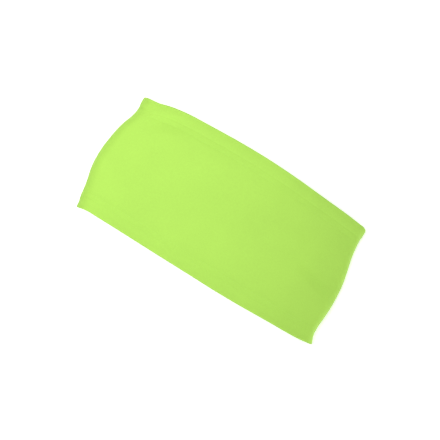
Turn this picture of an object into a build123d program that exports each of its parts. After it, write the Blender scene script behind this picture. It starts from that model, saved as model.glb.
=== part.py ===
"""A wide sports sweatband of stretch knit, lying flat.

The band is one strip of knit, closed into a loop by an overlocked back seam. Both long edges are
turned in and held by a coverstitch of two needle threads and one looper thread. A folded care label
is caught in the back seam.

Frame: X runs along the flat band from fold to fold, Y across its height, Z up from the table that it
lies on. The face at low Z is the back of the band, and the back seam runs across its middle.
Lengths are in millimetres.
"""

import os
from math import cos, radians, sin

from build123d import *

# The band, laid flat
RISE = 13.0  # from the table to the top face
KNIT = 0.8  # thickness of one layer of knit
FOLD_FLAT = 0.2  # height of the narrow flat left between the two rounds of a fold

# The outline is the overlap of four large circles, one for each side of the flat band:
# the middle of the side, the way it faces in degrees, its chord, and how far it bows out.
FOLD_SIDES = {
    "left": ((-113.4, -3.1), 178.6, 103.5, 8.2),
    "right": ((111.2, -3.0), 4.7, 102.9, 2.5),
}
LONG_SIDES = {
    "upper": ((0.0, 57.2), 90.0, 208.5, 9.0),
    "lower": ((3.0, -57.2), 270.0, 219.5, 2.5),
}

# The hems and their coverstitch. Distances are from the band's long edge.
HEM_DEPTH = 14.0  # to the raw edge of the turned-in knit
EDGE_ROW = 10.2  # needle row nearer the edge
BODY_ROW = 15.0  # needle row just past the raw edge
THREAD = 0.4  # width of a sewn thread
THREAD_SINK = 0.3  # how deep a needle thread is pulled into the knit

# The back seam, on the inside of the low face
SEAM_X = 0.0  # seam line
ALLOWANCE = 6.0  # width of the two seam allowances, both pressed towards +X
NEEDLE_OFFSETS = (1.2, 3.4)  # the overlock's two needle rows, from the seam line
SEAM_GAP = 0.6  # from the end of the seam ridge to the hem's looper thread

# The care label: a folded satin tape that hinges where the seam holds it
LABEL_LENGTH = 24.0
LABEL_WIDTH = 26.0
LABEL_THICKNESS = 0.4
LABEL_LIFT = 0.1  # clear of the knit that it lies on
LABEL_ROOT_X = SEAM_X - 0.5  # hinge line
LABEL_Y = 12.0  # middle of the label across the band

CLEAR = 6.0  # how far a cutting space runs past the solid that it cuts


def side_circle(side, inset):
    """Centre and radius of the circle whose arc is one side of the outline, moved in by inset."""
    (mid_x, mid_y), facing, chord, bow = side
    radius = (chord**2 / 4 + bow**2) / (2 * bow)
    centre = (
        mid_x - radius * cos(radians(facing)),
        mid_y - radius * sin(radians(facing)),
    )
    return centre, radius - inset


def slab(depth, upper=0.0, lower=0.0):
    """The flat band's space, depth under its skin at both faces and both folds.

    upper and lower move those long edges in, or out where they are negative.
    """
    sides = [
        side_circle(FOLD_SIDES["left"], depth),
        side_circle(FOLD_SIDES["right"], depth),
        side_circle(LONG_SIDES["upper"], upper),
        side_circle(LONG_SIDES["lower"], lower),
    ]
    height = RISE - 2 * depth
    with BuildPart() as space:
        with BuildSketch(Plane.XY.offset(depth)):
            for number, (centre, radius) in enumerate(sides):
                with Locations(centre):
                    Circle(radius, mode=Mode.INTERSECT if number else Mode.ADD)
        extrude(amount=height)
        faces = space.faces().sort_by(Axis.Z)
        fold_edges = [
            face.edges().sort_by(Axis.X)[end] for face in (faces[0], faces[-1]) for end in (0, -1)
        ]
        fillet(fold_edges, radius=(height - FOLD_FLAT) / 2)
    return space.part


def ring(edge, near, far, outer, inner):
    """A ring round the band: from near to far of one long edge, between two depths under the skin."""
    other = "lower" if edge == "upper" else "upper"
    outside = slab(outer, **{edge: near, other: -CLEAR})
    past_far = slab(outer, **{edge: far, other: -2 * CLEAR})
    inside = slab(inner, **{edge: near - CLEAR, other: -2 * CLEAR})
    with BuildPart() as made:
        add(outside)
        add(past_far, mode=Mode.SUBTRACT)
        add(inside, mode=Mode.SUBTRACT)
    return made.part


def needle_row(edge, distance):
    """A hem's needle thread, sunk flush into the outside of the knit."""
    return ring(edge, distance - THREAD / 2, distance + THREAD / 2, 0.0, THREAD_SINK)


def hem_looper(edge):
    """A hem's looper thread, on the inside, covering the raw edge between the two needle rows."""
    crest = 2 * KNIT + THREAD_SINK
    on_hem = ring(edge, EDGE_ROW - THREAD / 2, HEM_DEPTH, 2 * KNIT, crest)
    past_raw_edge = ring(edge, HEM_DEPTH, BODY_ROW + THREAD / 2, KNIT, crest)
    with BuildPart() as made:
        add(on_hem)
        add(past_raw_edge)
    return made.part


# Half the length of the seam ridge that shows between the two hems
ridge_half = LONG_SIDES["upper"][0][1] - BODY_ROW - THREAD / 2 - SEAM_GAP
ridge_top = 3 * KNIT  # the two allowances lie on the low face's own layer

needle_rows = {
    f"{edge}_hem_{name}_thread": needle_row(edge, distance)
    for edge in LONG_SIDES
    for name, distance in (("edge_needle", EDGE_ROW), ("body_needle", BODY_ROW))
}
loopers = {f"{edge}_hem_looper_thread": hem_looper(edge) for edge in LONG_SIDES}
outer_space = slab(0.0)
inner_space = slab(KNIT, upper=-CLEAR, lower=-CLEAR)
hems = [ring(edge, 0.0, HEM_DEPTH, KNIT, 2 * KNIT) for edge in LONG_SIDES]

# The overlock's needle threads: two straight rows along the top of the seam ridge
with BuildPart() as seam_needles:
    for offset_x in NEEDLE_OFFSETS:
        with Locations((SEAM_X + offset_x, 0, ridge_top)):
            Box(
                THREAD,
                2 * ridge_half,
                THREAD_SINK,
                align=(Align.CENTER, Align.CENTER, Align.MAX),
            )

# The overlock's looper threads: they cover the top of the ridge and wrap its raw edge
with BuildPart() as seam_loopers:
    with BuildSketch(Plane.XZ.offset(-ridge_half)):
        with BuildLine():
            Polyline(
                (SEAM_X + NEEDLE_OFFSETS[0], ridge_top),
                (SEAM_X + ALLOWANCE, ridge_top),
                (SEAM_X + ALLOWANCE, KNIT),
                (SEAM_X + ALLOWANCE + THREAD_SINK, KNIT),
                (SEAM_X + ALLOWANCE + THREAD_SINK, ridge_top + THREAD_SINK),
                (SEAM_X + NEEDLE_OFFSETS[0], ridge_top + THREAD_SINK),
                close=True,
            )
        make_face()
    extrude(amount=2 * ridge_half)

# The knit: one loop of cloth with both hems turned in and the seam allowances inside
with BuildPart() as knit_tube:
    add(outer_space)
    add(inner_space, mode=Mode.SUBTRACT)
    for hem in hems:
        add(hem)
    with Locations((SEAM_X, 0, KNIT)):
        Box(
            ALLOWANCE,
            2 * ridge_half,
            ridge_top - KNIT,
            align=(Align.MIN, Align.CENTER, Align.MIN),
        )
    for row in needle_rows.values():
        add(row, mode=Mode.SUBTRACT)
    add(seam_needles.part, mode=Mode.SUBTRACT)

# The care label, flat on the knit, with a round root on its hinge line
label_z = KNIT + LABEL_LIFT + LABEL_THICKNESS / 2
with BuildPart() as care_label:
    with BuildSketch(Plane.XZ.offset(-LABEL_Y - LABEL_WIDTH / 2)):
        with Locations((LABEL_ROOT_X, label_z)):
            Circle(LABEL_THICKNESS / 2)
            Rectangle(LABEL_LENGTH, LABEL_THICKNESS, align=(Align.MAX, Align.CENTER))
    extrude(amount=LABEL_WIDTH)

pieces = {
    "knit_tube": knit_tube.part,
    **needle_rows,
    **loopers,
    "back_seam_needle_threads": seam_needles.part,
    "back_seam_looper_threads": seam_loopers.part,
    "care_label": care_label.part,
}

os.makedirs("parts", exist_ok=True)
for label, piece in pieces.items():
    piece.label = label
    export_step(piece, f"parts/{label}.step")
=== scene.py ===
"""A wide sports sweatband of stretch knit, lying flat: its looks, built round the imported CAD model.

Lengths are in metres, in the frame's own axes: X along the flat band from fold to fold, Y across its
height, Z up from the table. The loop's outer face is one smooth skin. The knit, its hems and their
stitches are placed on it by three things: how far round the loop, how far across the band, and how
deep under the skin. The back seam and the label lie straight on the low layer, which is flat.
"""

from math import pi, radians

import bmesh
import bpy
import numpy as np
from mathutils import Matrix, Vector


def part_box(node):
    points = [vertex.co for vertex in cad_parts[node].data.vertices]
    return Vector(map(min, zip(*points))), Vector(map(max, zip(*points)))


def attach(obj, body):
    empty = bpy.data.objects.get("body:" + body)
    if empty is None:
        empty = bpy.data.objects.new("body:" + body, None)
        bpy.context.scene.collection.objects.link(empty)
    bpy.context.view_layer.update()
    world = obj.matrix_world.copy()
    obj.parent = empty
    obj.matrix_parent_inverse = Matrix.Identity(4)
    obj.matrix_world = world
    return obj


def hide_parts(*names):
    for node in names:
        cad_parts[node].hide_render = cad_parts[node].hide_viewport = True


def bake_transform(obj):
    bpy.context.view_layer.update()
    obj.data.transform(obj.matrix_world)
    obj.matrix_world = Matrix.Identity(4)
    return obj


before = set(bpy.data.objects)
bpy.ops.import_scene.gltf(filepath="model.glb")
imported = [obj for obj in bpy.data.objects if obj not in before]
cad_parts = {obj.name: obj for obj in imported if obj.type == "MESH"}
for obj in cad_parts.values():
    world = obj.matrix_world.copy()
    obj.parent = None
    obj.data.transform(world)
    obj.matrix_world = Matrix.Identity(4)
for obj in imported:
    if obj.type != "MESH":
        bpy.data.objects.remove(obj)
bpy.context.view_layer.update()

MM = 0.001

# The CAD model's own places
KNIT_LOW, KNIT_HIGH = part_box("knit_tube")
LABEL_LOW, LABEL_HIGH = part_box("care_label")
HEIGHT = KNIT_HIGH.y - KNIT_LOW.y
KNIT = 0.8 * MM  # thickness of one layer of knit
THREAD = 0.4 * MM  # width of the CAD model's needle threads
PAST_LOOPER = 4.0 * MM  # from the looper thread's outer side to the raw edge that it covers
# A hem's two needle rows and its raw edge, by distance from the band's long edge
EDGE_ROW = KNIT_HIGH.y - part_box("upper_hem_edge_needle_thread")[1].y + THREAD / 2
BODY_ROW = KNIT_HIGH.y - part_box("upper_hem_body_needle_thread")[1].y + THREAD / 2
RAW_EDGE = KNIT_HIGH.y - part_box("upper_hem_looper_thread")[1].y + PAST_LOOPER

# Where each end fold lies: (share of the height from the lower edge, X in mm)
LEFT_FOLD = (
    (0.0, -107.8), (0.05, -107.9), (0.09, -109.3), (0.14, -109.9), (0.21, -110.9), (0.33, -113.5),
    (0.45, -114.4), (0.61, -112.8), (0.76, -109.2), (0.83, -106.2), (0.89, -105.1), (0.97, -105.3),
    (1.0, -105.3),
)
RIGHT_FOLD = (
    (0.0, 114.6), (0.05, 112.5), (0.13, 111.7), (0.25, 112.5), (0.37, 112.9), (0.52, 112.0),
    (0.65, 109.5), (0.77, 106.8), (0.86, 105.7), (0.94, 105.5), (0.98, 105.6), (1.0, 105.3),
)
# Where each long edge lies: (X, Y), both in mm
UPPER_EDGE = (
    (-115.0, 47.5), (-103.0, 49.8), (-92.0, 50.9), (-84.0, 53.0), (-68.0, 55.5), (-48.0, 56.5),
    (-5.0, 57.3), (39.0, 55.3), (60.0, 53.3), (98.0, 49.5), (103.5, 48.7), (106.0, 47.7),
)
LOWER_EDGE = (
    (-115.0, -57.3), (-107.0, -55.5), (-98.0, -54.1), (-88.0, -54.3), (-68.0, -54.8), (0.0, -56.7),
    (34.0, -57.4), (73.0, -56.8), (107.0, -55.6), (114.0, -54.5),
)


def smooth_curve(points):
    """A smooth curve through (place, value) points, as a function of the place."""
    place, value = np.array(points, float).T
    slope = np.gradient(value, place)

    def curve(at):
        at = np.clip(at, place[0], place[-1])
        i = np.clip(np.searchsorted(place, at) - 1, 0, len(place) - 2)
        step = place[i + 1] - place[i]
        t = (at - place[i]) / step
        return (
            (2 * t**3 - 3 * t**2 + 1) * value[i]
            + (t**3 - 2 * t**2 + t) * step * slope[i]
            + (3 * t**2 - 2 * t**3) * value[i + 1]
            + (t**3 - t**2) * step * slope[i + 1]
        )

    return curve


def ease(t):
    """0 up to 0, 1 from 1, and smooth between."""
    t = np.clip(t, 0, 1)
    return t * t * (3 - 2 * t)


def hump(t):
    """1 at 0, falling smoothly to 0 at 1 either side."""
    return 1 - ease(np.abs(t))


def grid_quads(number):
    """The quads of an open grid of vertex numbers."""
    corners = [number[:-1, :-1], number[:-1, 1:], number[1:, 1:], number[1:, :-1]]
    return np.stack(corners, axis=-1).reshape(-1, 4).tolist()


left_fold, right_fold = smooth_curve(LEFT_FOLD), smooth_curve(RIGHT_FOLD)
upper_edge, lower_edge = smooth_curve(UPPER_EDGE), smooth_curve(LOWER_EDGE)

# ---- The skin ----------------------------------------------------------------------------------------

SEAM_X = 0.0
UNDERSIDE = 0.1 * MM  # height of the skin's low face over the table
LEFT_REACH, RIGHT_REACH = 8.0 * MM, 5.2 * MM  # how far along X each end fold takes to turn
FOLD_RISE = 12.7 * MM  # height of the folds over the low face
HEM_DROP = 0.9 * MM  # the folds are this much lower at the long edges
DROP_POWER = 4  # the drop comes in late, near the long edges
LOW_POINTS, TURN_POINTS, TOP_POINTS = 200, 90, 400  # each half of the low face, a fold, the top
ROWS, COLUMNS = 116, 640  # the skin's grid: about 1 mm by 0.7 mm

# The top layer falls away to the right above a slanting line, which leaves a soft crease along it
FALL = 2.8 * MM
FALL_FROM, FALL_RUN = 42 * MM, 46 * MM  # where along X it starts to fall, and over what length
FALL_LINE = ((50, 0), (103, -14))  # two places (X, Y) on the line, in mm
FALL_BLEND = 13 * MM  # how wide the slope across the line is

# Soft creases in the top layer: start and end (X, Y), depth and half width, all in mm
CREASES = (
    ((-99, 33), (-62, 45), 1.5, 9),
    ((-92, 8), (-66, 2), 0.3, 12),
    ((96, -38), (108, -48), 0.8, 7),
)
CREASE_FADE = 0.85  # a crease fades out at this many of its lengths from its middle

# The top layer's waves. Each wave's length is for one radian, and its wander is in radians.
UNEVEN = 0.16 * MM  # strength of the shallow waves all over
BROAD_WAVE, BROAD_WANDER, BROAD_WANDER_WAVE = 17 * MM, 2.1, 31 * MM
CROSS_WAVE, CROSS_SLANT = 13 * MM, 41 * MM
FINE_SHARE, FINE_WAVE, FINE_SLANT = 0.6, 9 * MM, 1.7
EDGE_STRENGTH = 0.6 * MM  # strength of the waves of the two long edges
EDGE_WAVE, EDGE_WANDER, EDGE_WANDER_WAVE = 15 * MM, 0.9, 37 * MM
EDGE_SHIFT = 1.3  # puts the two edges' waves out of step
EDGE_FROM, EDGE_GROW = 32 * MM, 22 * MM  # they start this far from mid-band, and grow over this
WAVES_FADE = 20 * MM  # waves and creases die away over this length before each fold


def fall(x, y):
    """How much lower the top layer lies at its right end."""
    (x0, y0), (x1, y1) = np.array(FALL_LINE) * MM
    line = y0 + (x - x0) * (y1 - y0) / (x1 - x0)
    return FALL * ease((x - FALL_FROM) / FALL_RUN) * ease(0.5 + (y - line) / FALL_BLEND)


def crease_depth(x, y):
    """How far the soft creases lower the top layer at a place."""
    depth = np.zeros_like(x)
    for start, end, deep, wide in CREASES:
        a, b = np.array(start) * MM, np.array(end) * MM
        along = ((x - a[0]) * (b - a)[0] + (y - a[1]) * (b - a)[1]) / ((b - a) @ (b - a))
        side = ((x - a[0]) * (b - a)[1] - (y - a[1]) * (b - a)[0]) / np.linalg.norm(b - a)
        depth += deep * MM * hump(side / (wide * MM)) * hump((along - 0.5) / CREASE_FADE)
    return depth


def ripple(x, y):
    """The shallow unevenness of cloth that no one has pressed, and the waves of its two long edges."""
    broad = np.sin(x / BROAD_WAVE + BROAD_WANDER * np.sin(y / BROAD_WANDER_WAVE))
    cross = np.sin(y / CROSS_WAVE + x / CROSS_SLANT)
    fine = FINE_SHARE * np.sin((x + FINE_SLANT * y) / FINE_WAVE)
    wander = EDGE_WANDER * np.sin(x / EDGE_WANDER_WAVE)
    edge = np.sin(x / EDGE_WAVE + wander + EDGE_SHIFT * np.sign(y))
    near_edge = ease((np.abs(y) - EDGE_FROM) / EDGE_GROW)
    return EDGE_STRENGTH * near_edge * edge + UNEVEN * (broad + cross + fine)


def across_at(share, x):
    """Y of a place on the band, at a share of its height and at X."""
    return MM * ((1 - share) * lower_edge(x / MM) + share * upper_edge(x / MM))


def loop_at(share):
    """The skin's line round the band at one share of its height, from the back seam round the left."""
    left, right = left_fold(share) * MM, right_fold(share) * MM
    turn = np.linspace(0, pi, TURN_POINTS)
    top = np.linspace(left + LEFT_REACH, right - RIGHT_REACH, TOP_POINTS)[1:-1]
    x = np.concatenate([
        np.linspace(SEAM_X, left + LEFT_REACH, LOW_POINTS)[:-1],
        left + LEFT_REACH * (1 - np.sin(turn)),
        top,
        right - RIGHT_REACH * (1 - np.sin(turn)),
        np.linspace(right - RIGHT_REACH, SEAM_X, LOW_POINTS)[1:],
    ])
    left_rise = FOLD_RISE - HEM_DROP * np.abs(2 * share - 1) ** DROP_POWER
    right_rise = left_rise - fall(right, across_at(share, right))
    top_y = across_at(share, top)
    from_fold = np.minimum(top - top[0], top[-1] - top)
    waves = ripple(top, top_y) - crease_depth(top, top_y)
    low = np.zeros(LOW_POINTS - 1)
    z = np.concatenate([
        low,
        left_rise / 2 * (1 - np.cos(turn)),
        left_rise - fall(top, top_y) + ease(from_fold / WAVES_FADE) * waves,
        right_rise / 2 * (1 + np.cos(turn)),
        low,
    ])
    return np.stack([x, across_at(share, x), z + UNDERSIDE], axis=1)


def evenly(line, count):
    """A closed line again, with that many points at even distances."""
    gone = np.concatenate([[0], np.cumsum(np.linalg.norm(np.diff(line, axis=0), axis=1))])
    at = np.linspace(0, gone[-1], count, endpoint=False)
    return np.stack([np.interp(at, gone, line[:, k]) for k in range(3)], axis=1)


def normals_of(grid):
    """The outward normals of a grid of points, [row, column, XYZ], closed along its columns."""
    along = np.roll(grid, -1, axis=1) - np.roll(grid, 1, axis=1)
    across = np.gradient(grid, axis=0)
    normal = np.cross(along, across)
    return normal / np.linalg.norm(normal, axis=2, keepdims=True)


# ---- The cloth simulation ----------------------------------------------------------------------------

# The sheet is the top layer, from the left fold to where the layer falls away to the right: that is
# where the skin's middle line lies over this share of the folds' height
SHEET_OVER = 0.9
SHEET_ROWS, SHEET_COLUMNS = 46, 88  # its grid: about 2.5 mm by 2 mm
HELD = 9 * MM  # how far in from each of its ends the sheet is held
PLAIN_STIFF = 0.2  # plain knit's bending stiffness, from 0, the least, to 1, the doubled hems'
SIM_FRAMES = 30
SMOOTHINGS = 3  # how often the sheet's movement is evened out
SAG_CAP = 1.3 * MM  # what a point's movement nears and never reaches


def drape_sheet(start, hold, doubled):
    """The sheet to simulate: its grid of points, how firmly each is held, and which are in a hem."""
    number = np.arange(hold.size).reshape(hold.shape)
    mesh = bpy.data.meshes.new("drape")
    mesh.from_pydata(start.reshape(-1, 3).tolist(), [], grid_quads(number))
    sheet = bpy.data.objects.new("drape", mesh)
    bpy.context.scene.collection.objects.link(sheet)
    held, stiff = sheet.vertex_groups.new(name="held"), sheet.vertex_groups.new(name="stiff")
    for i, (grip, hemmed) in enumerate(zip(hold.ravel(), doubled.ravel())):
        held.add([i], float(grip), "REPLACE")
        stiff.add([i], 1.0 if hemmed else PLAIN_STIFF, "REPLACE")
    return sheet


def simulate(sheet):
    """The sheet's points after the cloth simulation. It removes the sheet."""
    cloth = sheet.modifiers.new("drape", "CLOTH")
    cloth.settings.quality = 8
    cloth.settings.mass = 0.004
    cloth.settings.tension_stiffness = cloth.settings.compression_stiffness = 20
    cloth.settings.shear_stiffness = 6
    cloth.settings.bending_stiffness = 0.05
    cloth.settings.bending_stiffness_max = 0.6
    cloth.settings.vertex_group_bending = "stiff"
    cloth.settings.vertex_group_mass = "held"
    cloth.collision_settings.use_collision = False
    cloth.point_cache.frame_end = SIM_FRAMES
    scene = bpy.context.scene
    for frame_number in range(1, SIM_FRAMES + 1):
        scene.frame_set(frame_number)
    settled = sheet.evaluated_get(bpy.context.evaluated_depsgraph_get()).data
    end = np.array([v.co for v in settled.vertices])
    scene.frame_set(1)
    bpy.data.objects.remove(sheet)
    return end


def drape(grid):
    """How far each point of the skin moves when the sheet hangs between its ends under its weight.

    Nothing moves outside the sheet.
    """
    top = np.flatnonzero(grid[ROWS // 2, :, 2] > SHEET_OVER * FOLD_RISE)
    columns = np.linspace(top[0], top[-1], SHEET_COLUMNS).astype(int)
    rows = np.linspace(0, ROWS - 1, SHEET_ROWS).astype(int)
    start = grid[np.ix_(rows, columns)]
    x = start[..., 0]
    from_end = np.minimum(x - x.min(axis=1, keepdims=True), x.max(axis=1, keepdims=True) - x)
    free = ease(from_end / HELD)
    from_long_edge = np.minimum(rows, ROWS - 1 - rows) / (ROWS - 1) * HEIGHT
    doubled = np.broadcast_to((from_long_edge < BODY_ROW)[:, None], x.shape)
    end = simulate(drape_sheet(start, 1 - free, doubled)).reshape(start.shape)

    moved = (end - start) * free[..., None]
    for _ in range(SMOOTHINGS):
        moved[1:-1] = (moved[:-2] + 2 * moved[1:-1] + moved[2:]) / 4
        moved[:, 1:-1] = (moved[:, :-2] + 2 * moved[:, 1:-1] + moved[:, 2:]) / 4
    moved /= 1 + np.linalg.norm(moved, axis=2, keepdims=True) / SAG_CAP
    whole = np.zeros_like(grid)
    for k in range(3):
        along = np.stack([np.interp(np.arange(COLUMNS), columns, line, 0, 0) for line in moved[..., k]])
        whole[..., k] = np.stack([np.interp(np.arange(ROWS), rows, line) for line in along.T], axis=1)
    return whole


skin = np.stack([evenly(loop_at(share), COLUMNS) for share in np.linspace(0, 1, ROWS)])
skin += drape(skin)
skin_normals = normals_of(skin)
middle_steps = np.linalg.norm(np.diff(skin[ROWS // 2], axis=0), axis=1)
LOOP_LENGTH = float(middle_steps.sum()) * COLUMNS / (COLUMNS - 1)


def on_skin(round_loop, across):
    """Points and outward normals of the skin, at shares round the loop and across the band."""
    column = (np.asarray(round_loop) % 1.0) * COLUMNS
    row = np.clip(np.asarray(across), 0, 1) * (ROWS - 1)
    column, row = np.broadcast_arrays(column, row)
    c, r = np.floor(column).astype(int), np.minimum(np.floor(row).astype(int), ROWS - 2)
    fc, fr = (column - c)[..., None], (row - r)[..., None]
    c, c2 = c % COLUMNS, (c + 1) % COLUMNS

    def mixed(grid):
        low = grid[r, c] * (1 - fc) + grid[r, c2] * fc
        high = grid[r + 1, c] * (1 - fc) + grid[r + 1, c2] * fc
        return low * (1 - fr) + high * fr

    normal = mixed(skin_normals)
    return mixed(skin), normal / np.linalg.norm(normal, axis=-1, keepdims=True)


def under_skin(round_loop, across, depth):
    """Points at a depth under the skin."""
    point, normal = on_skin(round_loop, across)
    return point - normal * np.asarray(depth)[..., None]


# ---- Meshes ------------------------------------------------------------------------------------------


def mesh_piece(name, points, faces, materials, uvs=None, finish=None):
    """A smooth-shaded mesh piece.

    uvs holds one (u, v) for each face corner, in metres of cloth, and finish one material number for
    each face.
    """
    mesh = bpy.data.meshes.new(name)
    mesh.from_pydata(np.asarray(points).tolist(), [], [list(face) for face in faces])
    for material in materials:
        mesh.materials.append(material)
    if uvs is not None:
        layer = mesh.uv_layers.new(name="cloth")
        layer.data.foreach_set("uv", np.asarray(uvs, np.float32).ravel())
    if finish is not None:
        mesh.polygons.foreach_set("material_index", np.asarray(finish, np.int32))
    whole = bmesh.new()
    whole.from_mesh(mesh)
    bmesh.ops.recalc_face_normals(whole, faces=whole.faces)
    whole.to_mesh(mesh)
    whole.free()
    mesh.polygons.foreach_set("use_smooth", [True] * len(mesh.polygons))
    piece = bpy.data.objects.new(name, mesh)
    bpy.context.scene.collection.objects.link(piece)
    return piece


def closed_grid_faces(rows, columns):
    """Quads of a grid that closes on itself both ways, as vertex numbers."""
    r, c = np.meshgrid(np.arange(rows), np.arange(columns), indexing="ij")
    r2, c2 = (r + 1) % rows, (c + 1) % columns
    quads = np.stack([r * columns + c, r2 * columns + c, r2 * columns + c2, r * columns + c2], axis=-1)
    return quads.reshape(-1, 4)


def sheet_between(face, back):
    """Points and faces of a closed sheet between two grids of points, [row, column, XYZ]."""
    rows, columns = face.shape[:2]
    near = np.arange(rows * columns).reshape(rows, columns)
    faces = grid_quads(near) + grid_quads(near + rows * columns)
    rim = np.concatenate([near[0, :-1], near[:-1, -1], near[-1, :0:-1], near[:0:-1, 0]])
    ahead = np.roll(rim, -1)
    faces += np.stack([rim, ahead, ahead + rows * columns, rim + rows * columns], axis=-1).tolist()
    return np.concatenate([face.reshape(-1, 3), back.reshape(-1, 3)]), faces


def flat_uvs(points, faces):
    """(u, v) for each face corner: the X and Y of its point."""
    return np.array([points[k][:2] for face in faces for k in face])


# ---- The knit: skin, turned-in hems and their folds, in one closed mesh -------------------------------

HEM_PUFF = 0.3 * MM  # how far a hem swells between its fold and its stitches
PUFF_POWER = 0.7  # it swells steeply beside its fold and its stitches
HEM_POCKET = 0.5 * MM  # air between a hem's two layers, at most
POCKET_POWER = 1.5  # the pocket opens slowly there
TOUCH = 0.05 * MM  # left between two layers that touch
GROOVE = 0.11 * MM  # how deep the needle threads pull the knit in
GROOVE_WIDE = 1.6 * MM
FOLD_ROUND = 1.2 * MM  # how far from the edge a hem's fold begins to turn
INNER_REACH = FOLD_ROUND - 0.75 * KNIT  # how far the inside of that fold reaches out
PLAIN = 18 * MM  # how far from the edge the knit is plain again
SEAM_GROOVE = 0.35 * MM  # how deep the back seam pulls the knit's face in
SEAM_GROOVE_WIDE = 1.1 * MM
LOOP_STATIONS = 396  # round the loop
BODY_STATIONS = 30  # across the plain knit

ALLOWANCE = 6 * MM  # width of the seam allowances, which lie towards +X
LOW_LAYER = UNDERSIDE + HEM_PUFF + KNIT  # height of the low layer's inner face over the table
RIDGE_TOP = LOW_LAYER + 2 * KNIT  # the two allowances lie on the low layer
SEAM_LIFT = 1.9 * MM  # how far the hem linings rise to pass over the allowances
LIFT_RAMP = 2.2 * MM  # how far along X they take to rise
LIFT_FROM, LIFT_GROW = 2 * MM, 4 * MM  # the rise starts this far from the edge, and grows over this

# Where the cut edge of a hem has its points, by distance from the long edge in mm: on the outer
# face, on the turned-in layer's inner face and its hidden one, and on the back of the outer layer
FACE_AT = (*np.arange(PLAIN / MM, 9.0, -0.45), *np.arange(8.4, 1.3, -1.1))
LINING_AT = (1.8, 2.6, 3.6, 4.8, 6.0, 7.2, 8.4, 9.3, 10.2, 11.1, 12, 13.2, 13.8)
HIDDEN_AT = (13.8, 10.2, 7, 4, 2.2)
BACK_AT = (2.2, 4, 7, 10.2, 12.5, 14.3, 15.0, 15.7, 16.6, PLAIN / MM)
RAW_DEPTHS = (1.75, 1.25)  # down the raw edge, in layers of knit
FOLD_POINTS, INNER_FOLD_POINTS = 11, 5  # round the outside of the fold, and the inside
BESIDE_SEAM = (0, 0.3, 0.6, 0.9)  # extra stations either side of the back seam, in mm


def seam_lift(round_loop):
    """How far a hem lining rises over the back seam's allowances, by share round the loop."""
    x = (0.5 - (np.asarray(round_loop) + 0.5) % 1.0) * LOOP_LENGTH
    return SEAM_LIFT * ease((x + LIFT_RAMP) / LIFT_RAMP) * ease((ALLOWANCE + LIFT_RAMP - x) / LIFT_RAMP)


def lift_share(distance):
    """How much of that rise a lining has, by distance from the long edge."""
    return ease((distance - LIFT_FROM) / LIFT_GROW)


def hem_bulge(distance):
    """0 at the long edge and from the needle row on, 1 midway between them."""
    return np.sin(pi * np.clip(distance / EDGE_ROW, 0, 1))


def face_depth(distance):
    """How deep the knit's outer face lies under the skin, by distance from the long edge."""
    swell = hem_bulge(distance) ** PUFF_POWER * HEM_PUFF
    grooves = sum(hump((distance - row) / GROOVE_WIDE) for row in (EDGE_ROW, BODY_ROW))
    return HEM_PUFF - swell + GROOVE * grooves


def pocket(distance):
    """The gap between a hem's two layers, by distance from the long edge."""
    return TOUCH + HEM_POCKET * hem_bulge(distance) ** POCKET_POWER


def hem_section():
    """Half of the knit's cut edge: from mid-band out along its face, round its hem, and back inside.

    Each point is (distance from the long edge, depth, share of the seam's lift, 1 on the wrong side).
    """
    face = [(d, face_depth(d), 0, 0) for d in np.array(FACE_AT) * MM]
    near, far = face_depth(FOLD_ROUND), face_depth(FOLD_ROUND) + 2 * KNIT + pocket(FOLD_ROUND)
    middle, half = (near + far) / 2, (far - near) / 2
    fold = [
        (FOLD_ROUND * (1 - np.sin(t)), middle - half * np.cos(t), 0, 0)
        for t in np.linspace(0, pi, FOLD_POINTS)
    ]
    lining = [
        (d, face_depth(d) + 2 * KNIT + pocket(d), lift_share(d), 0) for d in np.array(LINING_AT) * MM
    ]
    raw = [(RAW_EDGE, face_depth(RAW_EDGE) + layers * KNIT + TOUCH, 1, 1) for layers in RAW_DEPTHS]
    hidden = [(d, face_depth(d) + KNIT + pocket(d), lift_share(d), 1) for d in np.array(HIDDEN_AT) * MM]
    inner = [
        (FOLD_ROUND - INNER_REACH * np.sin(t), middle - (half - KNIT) * np.cos(t), 0, 1)
        for t in np.linspace(pi, 0, INNER_FOLD_POINTS)
    ]
    back = [(d, face_depth(d) + KNIT, 0, 1) for d in np.array(BACK_AT) * MM]
    return face + fold + lining + raw + hidden + inner + back


def knit_section():
    """The knit's whole cut edge, a closed line: (share across, depth, share of lift, wrong side)."""
    half = np.array(hem_section())
    lower, upper = half.copy(), half[::-1].copy()
    lower[:, 0] = half[:, 0] / HEIGHT
    upper[:, 0] = 1 - half[::-1, 0] / HEIGHT
    body = np.linspace(PLAIN, HEIGHT - PLAIN, BODY_STATIONS)[1:-1] / HEIGHT
    inside = [(share, face_depth(PLAIN) + KNIT, 0, 1) for share in body]
    outside = [(share, face_depth(PLAIN), 0, 0) for share in body[::-1]]
    return np.concatenate([lower, inside, upper, outside])


def round_stations():
    """Shares round the loop, closer together at the back seam."""
    even = np.arange(1, LOOP_STATIONS) / LOOP_STATIONS
    near = np.array(BESIDE_SEAM) * MM / LOOP_LENGTH
    even = even[(even > near[-1]) & (even < 1 - near[-1])]
    return np.concatenate([near, even, 1 - near[:0:-1]])


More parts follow.
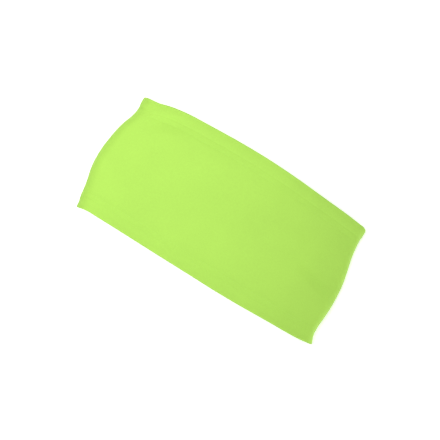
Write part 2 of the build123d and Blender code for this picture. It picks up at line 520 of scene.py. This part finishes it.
def make_knit(face_finish, wrong_finish):
    """The whole loop of knit, both hems turned in."""
    section, stations = knit_section(), round_stations()
    across, depth, lift, wrong = section.T
    beside_seam = np.minimum(stations, 1 - stations) * LOOP_LENGTH
    groove = SEAM_GROOVE * hump(beside_seam / SEAM_GROOVE_WIDE)
    outside = depth < KNIT / 2
    full_depth = depth[:, None] + groove * outside[:, None] + seam_lift(stations) * lift[:, None]
    points = under_skin(stations[None, :], across[:, None], full_depth)
    rows, columns = len(section), len(stations)
    step = np.hypot(np.diff(across, append=across[0]) * HEIGHT, np.diff(depth, append=depth[0]))
    v = np.concatenate([[0], np.cumsum(step)])
    u = np.concatenate([stations, [1.0]]) * LOOP_LENGTH
    r, c = np.divmod(np.arange(rows * columns), columns)
    corners = ((0, 0), (1, 0), (1, 1), (0, 1))
    uvs = np.stack([np.stack([u[c + right], v[r + up]], axis=-1) for up, right in corners], axis=1)
    finish = np.repeat((wrong > 0) & (np.roll(wrong, -1) > 0), columns)
    return mesh_piece(
        "band_knit",
        points.reshape(-1, 3),
        closed_grid_faces(rows, columns),
        [face_finish, wrong_finish],
        uvs,
        finish,
    )


# ---- The back seam: its two allowances, pressed towards +X on the low layer ---------------------------

SEAM_ROWS = (1.2 * MM, 3.4 * MM)  # the overlock's needle rows, from the seam line
RIDGE_IN_HEM = 7.5 * MM  # the ridge ends this far from each long edge, inside the hems
# The ridge's cut shape, over the knit that it lies on: (X, height) in mm, from its nose at the seam
# to the two raw edges, one over the other with a notch between
RIDGE_SHAPE = (
    (-1.7, 0.0), (-1.25, 0.2), (-0.8, 0.6), (-0.35, 1.15), (0.1, 1.48), (0.65, 1.6), (1.2, 1.53),
    (1.8, 1.61), (2.8, 1.61), (3.4, 1.54), (4.0, 1.61), (5.0, 1.61), (5.7, 1.58), (5.95, 1.45),
    (6.0, 1.05), (5.8, 0.85), (5.8, 0.75), (6.02, 0.6), (6.08, 0.3), (6.0, -0.04),
)
RIDGE_STATIONS = 90
# The raw edges waver in a short and a long wave. Each wave's length is for one radian.
WAVER, LONG_WAVER_SHARE = 0.12 * MM, 0.7
SHORT_WAVER, LONG_WAVER = 2.9 * MM, 7.3 * MM
RISE_WAVER, RISE_WAVE = 0.02, 5.1 * MM  # the same for the ridge's height, as a share of it


def make_allowances(finish):
    """The ridge of the two overlocked allowances."""
    x, rise = np.array(RIDGE_SHAPE).T * MM
    low_y = MM * lower_edge(0.0) + RIDGE_IN_HEM
    high_y = MM * upper_edge(0.0) - RIDGE_IN_HEM
    y = np.linspace(low_y, high_y, RIDGE_STATIONS)
    waver = WAVER * (np.sin(y / SHORT_WAVER) + LONG_WAVER_SHARE * np.sin(y / LONG_WAVER))
    face = np.empty((len(x), len(y), 3))
    face[..., 0] = x[:, None] + waver * ease(x / ALLOWANCE)[:, None]
    face[..., 1] = y
    face[..., 2] = LOW_LAYER + rise[:, None] * (1 + RISE_WAVER * np.sin(y / RISE_WAVE))
    back = face.copy()
    back[..., 2] = UNDERSIDE + KNIT - TOUCH  # sunk in the low layer, which it is sewn to
    points, faces = sheet_between(face, back)
    return mesh_piece("back_seam_allowances", points, faces, [finish], flat_uvs(points, faces))


# ---- Threads -----------------------------------------------------------------------------------------

STITCH = 2.9 * MM
STITCH_THICK = 0.26 * MM
LOOPER_THICK = 0.26 * MM
OVERLOCK_STITCH = 2.3 * MM
TUBE_SIDES = 6
TUBE_UP = (0.13, 0.21, 0.97)  # no thread runs this way, so each tube's sides can be set out from it


def tube(path, radius, closed=False):
    """Points and faces of a round tube along a path, its ends capped or joined up."""
    path = np.asarray(path)
    if closed:
        run = np.roll(path, -1, axis=0) - np.roll(path, 1, axis=0)
    else:
        run = np.gradient(path, axis=0)
    run /= np.linalg.norm(run, axis=1, keepdims=True)
    aside = np.cross(run, TUBE_UP)
    aside /= np.linalg.norm(aside, axis=1, keepdims=True)
    over = np.cross(run, aside)
    turn = np.arange(TUBE_SIDES) * 2 * pi / TUBE_SIDES
    radius = np.broadcast_to(radius, len(path))[:, None, None]
    ring = np.cos(turn)[None, :, None] * aside[:, None] + np.sin(turn)[None, :, None] * over[:, None]
    points = (path[:, None] + radius * ring).reshape(-1, 3)
    count = len(path) if closed else len(path) - 1
    i, j = np.meshgrid(np.arange(count), np.arange(TUBE_SIDES), indexing="ij")
    start, ahead = i * TUBE_SIDES, (i + 1) % len(path) * TUBE_SIDES
    j2 = (j + 1) % TUBE_SIDES
    faces = np.stack([start + j, start + j2, ahead + j2, ahead + j], axis=-1).reshape(-1, 4).tolist()
    if not closed:
        last = (len(path) - 1) * TUBE_SIDES
        faces.append(list(range(TUBE_SIDES))[::-1])
        faces.append([last + k for k in range(TUBE_SIDES)])
    return points, faces


def joined(parts):
    """Several (points, faces) as one."""
    points, faces, start = [], [], 0
    for part_points, part_faces in parts:
        points.append(part_points)
        faces += [[start + k for k in face] for face in part_faces]
        start += len(part_points)
    return np.concatenate(points), faces


def from_edge(edge, distance):
    """Share across the band of a place at a distance from one long edge."""
    return distance / HEIGHT if edge == "lower" else 1 - distance / HEIGHT


# One needle stitch: places along it, how deep it dips, and its radius
STITCH_ALONG = np.array([-0.47, -0.42, -0.3, 0.0, 0.3, 0.42, 0.47])  # in stitch lengths
STITCH_DIP = np.array([0.55, 0.18, 0.0, -0.04, 0.0, 0.18, 0.55]) * MM
STITCH_RADIUS = np.array([0.55, 0.9, 1, 1, 1, 0.9, 0.55]) * STITCH_THICK / 2
STITCH_SUNK = 0.04 * MM  # the middle of a hem's needle thread, under the knit's face


def needle_row(name, edge, distance, material):
    """A row of straight stitches sunk in the knit, each dipping into it at both ends."""
    count = round(LOOP_LENGTH / STITCH)
    across = from_edge(edge, distance)
    depth = face_depth(distance) + STITCH_SUNK + STITCH_DIP
    stitches = [
        tube(under_skin((k + 0.5 + STITCH_ALONG) / count, across, depth), STITCH_RADIUS)
        for k in range(count)
    ]
    return mesh_piece(name, *joined(stitches), [material])


# A hem's looper net: two zigzags half a stitch apart, and a chain along each needle row
ZIGZAG_POINTS, CHAIN_POINTS = 12, 6  # along one stitch
OVER_HEM, OVER_KNIT = 0.1 * MM, 0.12 * MM  # the net's middle, over the cloth under it
SECOND_ZIGZAG = 0.22 * MM  # it lies on the first
PAST_ROWS = 0.35 * MM  # how far the zigzags reach past the two needle rows
STEP_FROM, STEP_RUN = 0.5 * MM, 1.2 * MM  # they step down from before the raw edge, over this length
ZIGZAG_LEAN = 0.28  # how far a loop leans along the row, in stitches
CHAIN_SWAY = 0.3 * MM  # how far a chain wanders across its row
CHAIN_SUNK, CHAIN_WAVE = 0.05 * MM, 0.15 * MM  # how far it lies under the zigzags, and rises and dips


def hem_looper(name, edge, material):
    """The net of looper thread that covers a hem's raw edge inside, between its two needle rows."""
    count = round(LOOP_LENGTH / STITCH)
    crest = face_depth(EDGE_ROW) + 2 * KNIT + pocket(EDGE_ROW) + OVER_HEM
    ground = face_depth(BODY_ROW) + KNIT + OVER_KNIT
    parts = []
    for offset, lift in ((0.0, 0.0), (0.5, SECOND_ZIGZAG)):
        step = np.arange(count * ZIGZAG_POINTS) / ZIGZAG_POINTS
        phase = step + offset
        swing = 0.5 - 0.5 * np.cos(2 * pi * phase)
        distance = EDGE_ROW - PAST_ROWS + (BODY_ROW - EDGE_ROW + 2 * PAST_ROWS) * swing
        down = ease((distance - RAW_EDGE + STEP_FROM) / STEP_RUN)
        round_loop = (step + ZIGZAG_LEAN * np.sin(4 * pi * phase)) / count
        depth = crest * (1 - down) + ground * down + lift + seam_lift(round_loop)
        path = under_skin(round_loop, from_edge(edge, distance), depth)
        parts.append(tube(path, LOOPER_THICK / 2, closed=True))
    for row, level in ((EDGE_ROW, crest), (BODY_ROW, ground)):
        step = np.arange(count * CHAIN_POINTS) / CHAIN_POINTS
        across = from_edge(edge, row + CHAIN_SWAY * np.sin(2 * pi * step))
        depth = level - CHAIN_SUNK + CHAIN_WAVE * np.cos(2 * pi * step) + seam_lift(step / count)
        parts.append(tube(under_skin(step / count, across, depth), LOOPER_THICK / 2, closed=True))
    return mesh_piece(name, *joined(parts), [material])


SEAM_SPARE = 0.3 * MM  # the overlock shows from this far past each hem's raw edge
LABEL_RAMP = 0.9 * MM  # how far along Y it takes to rise on to the label
OVER_RIDGE = 0.08 * MM  # the middle of its needle threads, over the ridge
# One turn of an overlock's looper thread: (X, share of a stitch, height over the knit), in mm but for
# the share. It runs out over the allowances, down their raw edge, and back. X holds at the raw edge,
# and is scaled before it, so that each thread's turns begin by its own needle row.
LOOPER_TURN = (
    (0.0, 0.0, 1.76), (1.2, 0.14, 1.84), (3.6, 0.34, 1.82), (5.4, 0.43, 1.8), (6.05, 0.45, 1.6),
    (6.28, 0.48, 0.9), (6.2, 0.52, 0.3), (6.32, 0.55, 0.9), (6.1, 0.57, 1.62), (5.4, 0.6, 1.82),
    (3.6, 0.68, 1.86), (1.2, 0.86, 1.86),
)
BEFORE_ROW = 0.25 * MM  # a turn begins this far before its needle row
SECOND_LOOPER = 0.12 * MM  # the second thread lies on the first
# Over the label, a turn is raised only above this height in mm, and in full this much above it
CREST_FROM, CREST_GROW = 1.2, 0.5


def seam_run():
    """Where the overlock shows, along Y: between the two hems' raw edges."""
    inset = RAW_EDGE + SEAM_SPARE
    return MM * lower_edge(0.0) + inset, MM * upper_edge(0.0) - inset


def over_label(y):
    """How much higher the overlock runs where it crosses the care label."""
    middle, half = (LABEL_LOW.y + LABEL_HIGH.y) / 2, (LABEL_HIGH.y - LABEL_LOW.y) / 2
    return LABEL_PLIES * ease((half + LABEL_RAMP - np.abs(y - middle)) / LABEL_RAMP)


def overlock_needles(material):
    """The overlock's two rows of needle stitches, on top of the allowances."""
    low, high = seam_run()
    count = round((high - low) / OVERLOCK_STITCH)
    stitches = []
    for k in range(count):
        y = low + (k + 0.5 + STITCH_ALONG) * (high - low) / count
        z = RIDGE_TOP + OVER_RIDGE + over_label(y) - STITCH_DIP
        for x in SEAM_ROWS:
            stitches.append(tube(np.stack([np.full_like(y, x), y, z], axis=1), STITCH_RADIUS))
    return mesh_piece("back_seam_needle_stitches", *joined(stitches), [material])


def overlock_loopers(material):
    """The overlock's two looper threads: a dense zigzag over the allowances and round their edge."""
    low, high = seam_run()
    count = round((high - low) / OVERLOCK_STITCH)
    out, along, height = np.array(LOOPER_TURN).T
    turns = np.arange(count - 1)[:, None]
    parts = []
    for row, offset, lift in ((SEAM_ROWS[0], 0.0, 0.0), (SEAM_ROWS[1], 0.5, SECOND_LOOPER)):
        begin = row - BEFORE_ROW
        x = begin + out / out.max() * (out.max() * MM - begin)
        y = low + (turns + offset + along) * (high - low) / count
        z = LOW_LAYER + height * MM + lift + over_label(y) * ease((height - CREST_FROM) / CREST_GROW)
        path = np.stack([np.broadcast_to(x, y.shape).ravel(), y.ravel(), z.ravel()], axis=1)
        parts.append(tube(path, LOOPER_THICK / 2))
    return mesh_piece("back_seam_looper_stitches", *joined(parts), [material])


# ---- The care label: blank satin tape, folded double, its two ends sewn into the back seam -------------

TAPE = 0.15 * MM  # thickness of one ply
TAPE_GAP = 0.2 * MM  # from the middle of one ply to the middle of the other
LABEL_PLIES = TAPE_GAP + TAPE
# The middle between the two plies: (X, height over the knit) in mm, from its root on the allowances
LABEL_LINE = (
    (4.9, 1.83), (2.0, 1.83), (0.7, 1.83), (-0.2, 1.76), (-1.1, 1.42), (-2.2, 0.86), (-3.4, 0.5),
    (-5.0, 0.32), (-8.0, 0.23), (-13.0, 0.22), (-17.5, 0.23), (-21.0, 0.3), (-24.2, 0.46),
)
LINE_POINTS, TIP_POINTS, LABEL_STATIONS = 64, 9, 27  # along a ply, round its fold, and across
# It waves across its width: how strong, the wave's length for one radian, and how far from the seam
# the waves are full
LABEL_WAVE, LABEL_WAVE_RUN, LABEL_WAVE_GROW = 0.1 * MM, 4.3 * MM, 20 * MM


def line_through(points, count):
    """A smooth line of count even points through control points, one row each."""
    points = np.asarray(points, float)
    knot = np.concatenate([[0], np.cumsum(np.linalg.norm(np.diff(points, axis=0), axis=1))])
    at = np.linspace(0, knot[-1], count)
    return np.stack([smooth_curve(np.stack([knot, column], axis=1))(at) for column in points.T], axis=1)


def make_label(material):
    """The label as one closed strip: out along its upper ply, round the fold, back along the lower."""
    line = line_through(LABEL_LINE, LINE_POINTS) * MM
    run = np.gradient(line, axis=0)
    run /= np.linalg.norm(run, axis=1, keepdims=True)
    up = np.stack([run[:, 1], -run[:, 0]], axis=1)
    half_turn = np.linspace(pi / 2, -pi / 2, TIP_POINTS)[1:-1, None]
    tip = np.cos(half_turn) * run[-1] + np.sin(half_turn) * up[-1]
    outward = np.concatenate([up, tip, -up[::-1]])
    middle = np.concatenate([line, np.broadcast_to(line[-1], tip.shape), line[::-1]])
    middle = middle + TAPE_GAP / 2 * outward
    y = np.linspace(LABEL_LOW.y, LABEL_HIGH.y, LABEL_STATIONS)
    free = ease(-middle[:, 0] / LABEL_WAVE_GROW)[:, None]
    wave = LABEL_WAVE * (1 + np.sin((y - LABEL_LOW.y) / LABEL_WAVE_RUN)) * free
    sides = []
    for side in (TAPE / 2, -TAPE / 2):
        grid = np.empty((len(middle), len(y), 3))
        grid[..., 0] = (middle[:, 0] + side * outward[:, 0])[:, None]
        grid[..., 1] = y
        grid[..., 2] = LOW_LAYER + (middle[:, 1] + side * outward[:, 1])[:, None] + wave
        sides.append(grid)
    points, faces = sheet_between(*sides)
    return mesh_piece("care_label_tape", points, faces, [material], flat_uvs(points, faces))


# ---- Materials ---------------------------------------------------------------------------------------


class Nodes:
    """A small helper that builds one node material."""

    def __init__(self, name):
        self.material = bpy.data.materials.new(name)
        self.material.use_nodes = True
        self.tree = self.material.node_tree
        self.shader = self.tree.nodes["Principled BSDF"]

    def add(self, kind, links=None, **settings):
        """A node with its settings, and its inputs linked or set by name or number."""
        node = self.tree.nodes.new(kind)
        for key, value in settings.items():
            setattr(node, key, value)
        for key, value in (links or {}).items():
            if isinstance(value, bpy.types.NodeSocket):
                self.tree.links.new(value, node.inputs[key])
            else:
                node.inputs[key].default_value = value
        return node

    def math(self, operation, *values):
        return self.add("ShaderNodeMath", dict(enumerate(values)), operation=operation).outputs[0]

    def noise(self, place, scale, detail=2.0):
        links = {"Vector": place, "Scale": scale, "Detail": detail}
        return self.add("ShaderNodeTexNoise", links).outputs[0]

    def place(self):
        """The place in the object's own space, which is the frame's."""
        return self.add("ShaderNodeTexCoord").outputs["Object"]

    def cloth_uv(self):
        """The two coordinates along the cloth, in metres."""
        uv = self.add("ShaderNodeUVMap", uv_map="cloth").outputs[0]
        return self.add("ShaderNodeSeparateXYZ", {0: uv}).outputs[:2]

    def colour(self, amount, base, dark, light=1.0, between=(0.0, 1.0)):
        """Colours the surface from dark to light times a base colour, as an amount rises."""
        ramp = self.add("ShaderNodeValToRGB", {0: amount})
        for stop, position, shade in zip(ramp.color_ramp.elements, between, (dark, light)):
            stop.position = position
            stop.color = (*[min(1.0, c * shade) for c in base], 1)
        self.tree.links.new(ramp.outputs[0], self.shader.inputs["Base Color"])

    def relief(self, height, strength, distance):
        """Bumps the surface by a height."""
        links = {"Strength": strength, "Distance": distance, "Height": height}
        bump = self.add("ShaderNodeBump", links)
        self.tree.links.new(bump.outputs[0], self.shader.inputs["Normal"])

    def finish(self, values):
        """Sets the shader's own sockets."""
        for socket, value in values.items():
            self.shader.inputs[socket].default_value = value


LIME = (0.402, 0.706, 0.084)
SATIN = (0.86, 0.86, 0.83)
PALE = (0.96, 0.96, 0.96)
WHITE = (1.0, 1.0, 1.0, 1)

# The jersey
WALE = 0.85 * MM  # from one column of stitches to the next
COURSE = 0.66 * MM  # from one row of stitches to the next
WANDER = 0.35  # how far the columns wander, in wales
FACE_LEAN, FACE_LEG_SHARE = 1.1, 0.6  # how steep the V stitches are, and how much the columns stand out
WRONG_LEAN, WRONG_LEG_SHARE = 0.35, 0.25  # the same for the wrong side's arcs
HEATHER_SHARE = 0.55  # of the colour's unevenness, the fine part. The rest is in soft clouds.

# The satin tape
WARP = 0.32 * MM  # from one warp thread to the next
FLOAT = 1.6 * MM  # length of a warp thread's float
SLANT = 0.4  # how much further on each warp thread is tied down, in floats
TIE_POWER = 0.35  # makes the ties narrow


def knit_material(name, wrong_side=False):
    """Fine jersey with a faint heather: columns of V stitches, and small arcs on its wrong side."""
    lean, leg_share = (WRONG_LEAN, WRONG_LEG_SHARE) if wrong_side else (FACE_LEAN, FACE_LEG_SHARE)
    n = Nodes(name)
    u, v = n.cloth_uv()
    place = n.place()
    wander = n.math("MULTIPLY", n.noise(place, scale=260.0), WANDER)
    wale = n.math("ADD", n.math("MULTIPLY", u, 1 / WALE), wander)
    column = n.math("ABSOLUTE", n.math("SUBTRACT", n.math("FRACT", wale), 0.5))
    leg = n.math("SINE", n.math("MULTIPLY", column, 2 * pi))
    shift = n.math("MULTIPLY", leg if wrong_side else column, lean)
    course = n.math("ADD", n.math("MULTIPLY", v, 1 / COURSE), shift)
    stitch = n.math("SINE", n.math("MULTIPLY", course, 2 * pi))
    legs, stitches = n.math("MULTIPLY", leg, leg_share), n.math("MULTIPLY", stitch, 1 - leg_share)
    n.relief(n.math("ADD", legs, stitches), strength=0.6, distance=0.14 * MM)
    heather = n.math("MULTIPLY", n.noise(place, scale=900.0, detail=3.0), HEATHER_SHARE)
    cloud = n.math("MULTIPLY", n.noise(place, scale=22.0), 1 - HEATHER_SHARE)
    n.colour(n.math("ADD", heather, cloud), LIME, dark=0.955, light=1.035, between=(0.32, 0.68))
    n.finish({
        "Roughness": 0.9 if wrong_side else 0.66,
        "Specular IOR Level": 0.42,
        "Sheen Weight": 0.12,
        "Sheen Roughness": 0.45,
        "Sheen Tint": (0.86, 1.0, 0.62, 1),
    })
    return n.material


def thread_material():
    """Twisted polyester thread, with painted shade in the grooves of its twist."""
    n = Nodes("lime_thread")
    links = {"Vector": n.place(), "Scale": 900.0, "Distortion": 1.5}
    twist_and_painted_shade = n.add("ShaderNodeTexWave", links, bands_direction="DIAGONAL").outputs["Fac"]
    n.relief(twist_and_painted_shade, strength=0.4, distance=0.06 * MM)
    # The colour follows the twist: darker in its grooves, which is painted shade, and lighter on its
    # crests.
    n.colour(twist_and_painted_shade, LIME, dark=0.93, light=1.06)
    n.finish({"Roughness": 0.55, "Sheen Weight": 0.15})
    return n.material


def satin_material():
    """White woven satin: long warp floats across the tape, tied down in a slanting order."""
    n = Nodes("white_satin")
    u, v = n.cloth_uv()
    warp = n.math("MULTIPLY", v, 1 / WARP)
    ridge = n.math("SINE", n.math("MULTIPLY", warp, 2 * pi))
    slant = n.math("ADD", n.math("MULTIPLY", u, 1 / FLOAT), n.math("MULTIPLY", warp, SLANT))
    tie = n.math("ABSOLUTE", n.math("SINE", n.math("MULTIPLY", slant, pi)))
    weave = n.math("ADD", n.math("MULTIPLY", ridge, 0.5), n.math("POWER", tie, TIE_POWER))
    n.relief(weave, strength=0.3, distance=0.05 * MM)
    n.colour(n.noise(n.place(), scale=160.0), SATIN, dark=0.94)
    n.finish({"Roughness": 0.38, "Specular IOR Level": 0.55, "Sheen Weight": 0.2})
    return n.material


def floor_material():
    """A pale matt floor that glows a little, which keeps it white to its edges."""
    n = Nodes("pale_floor")
    n.colour(n.noise(n.place(), scale=3.0), PALE, dark=0.985)
    n.finish({"Roughness": 0.9, "Emission Color": WHITE, "Emission Strength": FLOOR_GLOW})
    return n.material


# ---- The studio --------------------------------------------------------------------------------------

VIEW_WIDTH = 0.3577  # how much of the plane half-way up the band the picture spans
VIEW_CENTRE = (-1.35 * MM, -5.5 * MM)  # X and Y in the middle of the picture
VIEW_TURN = 30.6  # how far the band's length runs down to the right in the picture, in degrees
LENS, SENSOR = 85.0, 36.0
SKY_LOW, SKY_HIGH = 0.9, 0.31  # how bright the studio is at floor level, and overhead
SKY_FROM, SKY_TO = 0.1, 0.4  # between which heights the one turns to the other, as sines
FLOOR_SIZE = 40
FLOOR_GLOW = 0.42
# Place, aim, size and power of each light. The key is above the band's left half, so that its right
# end is duller. The fill is low and far to the right, so that the right fold isn't dark.
LIGHTS = {
    "key_light": ((-0.1, 0.0, 0.34), (-0.1, 0.0, 0.0), 0.26, 1.165),
    "fill_light": ((1.2, -0.25, 0.28), (0.0, 0.0, 0.0), 0.5, 6.4),
}


def make_world():
    """An even white room, brighter at floor level than overhead."""
    world = bpy.data.worlds.new("studio_world")
    bpy.context.scene.world = world
    world.use_nodes = True
    nodes, links = world.node_tree.nodes, world.node_tree.links
    direction = nodes.new("ShaderNodeTexCoord").outputs["Generated"]
    split = nodes.new("ShaderNodeSeparateXYZ")
    links.new(direction, split.inputs[0])
    strength = nodes.new("ShaderNodeMapRange")
    links.new(split.outputs["Z"], strength.inputs["Value"])
    strength.inputs["From Min"].default_value = SKY_FROM
    strength.inputs["From Max"].default_value = SKY_TO
    strength.inputs["To Min"].default_value = SKY_LOW
    strength.inputs["To Max"].default_value = SKY_HIGH
    links.new(strength.outputs[0], nodes["Background"].inputs["Strength"])
    nodes["Background"].inputs["Color"].default_value = WHITE


def make_floor():
    bpy.ops.mesh.primitive_plane_add(size=FLOOR_SIZE)
    floor = bpy.context.object
    floor.name = "studio_floor"
    floor.data.materials.append(floor_material())


def make_lights():
    for name, (place, aim, size, power) in LIGHTS.items():
        lamp = bpy.data.lights.new(name, "AREA")
        lamp.size, lamp.energy = size, power
        light = bpy.data.objects.new(name, lamp)
        light.location = place
        light.rotation_mode = "QUATERNION"
        light.rotation_quaternion = (Vector(aim) - light.location).to_track_quat("-Z", "Y")
        light.visible_camera = False
        bpy.context.scene.collection.objects.link(light)


def make_camera():
    """A camera straight above the band, at the photograph's viewing angle."""
    camera_data = bpy.data.cameras.new("camera")
    camera_data.lens, camera_data.sensor_width = LENS, SENSOR
    camera = bpy.data.objects.new("camera", camera_data)
    distance = VIEW_WIDTH * LENS / SENSOR
    camera.location = (*VIEW_CENTRE, KNIT_HIGH.z / 2 + distance)
    camera.rotation_euler = (0, 0, radians(VIEW_TURN))
    bpy.context.scene.collection.objects.link(camera)
    bpy.context.scene.camera = camera


# ---- The whole ---------------------------------------------------------------------------------------


def on_band(piece, node=None):
    """The piece rides on the band, and stands for a CAD node, which is hidden."""
    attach(piece, "band")
    if node:
        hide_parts(node)
    return piece


bpy.context.scene.view_settings.view_transform = "Standard"
make_world()
make_floor()
make_lights()
make_camera()
jersey, jersey_back = knit_material("lime_jersey"), knit_material("lime_jersey_back", wrong_side=True)
thread, satin = thread_material(), satin_material()

band = on_band(make_knit(jersey, jersey_back), "knit_tube")
sewn = [on_band(make_allowances(jersey_back))]
for edge_name in ("upper", "lower"):
    for row_name, row_distance in (("edge", EDGE_ROW), ("body", BODY_ROW)):
        row = needle_row(f"{edge_name}_hem_{row_name}_stitches", edge_name, row_distance, thread)
        sewn.append(on_band(row, f"{edge_name}_hem_{row_name}_needle_thread"))
    looper = hem_looper(f"{edge_name}_hem_looper", edge_name, thread)
    sewn.append(on_band(looper, f"{edge_name}_hem_looper_thread"))
sewn.append(on_band(overlock_needles(thread), "back_seam_needle_threads"))
sewn.append(on_band(overlock_loopers(thread), "back_seam_looper_threads"))

# The care label takes the place of the CAD model's, its transform baked into its mesh
label = make_label(satin)
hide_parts("care_label")
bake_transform(label)
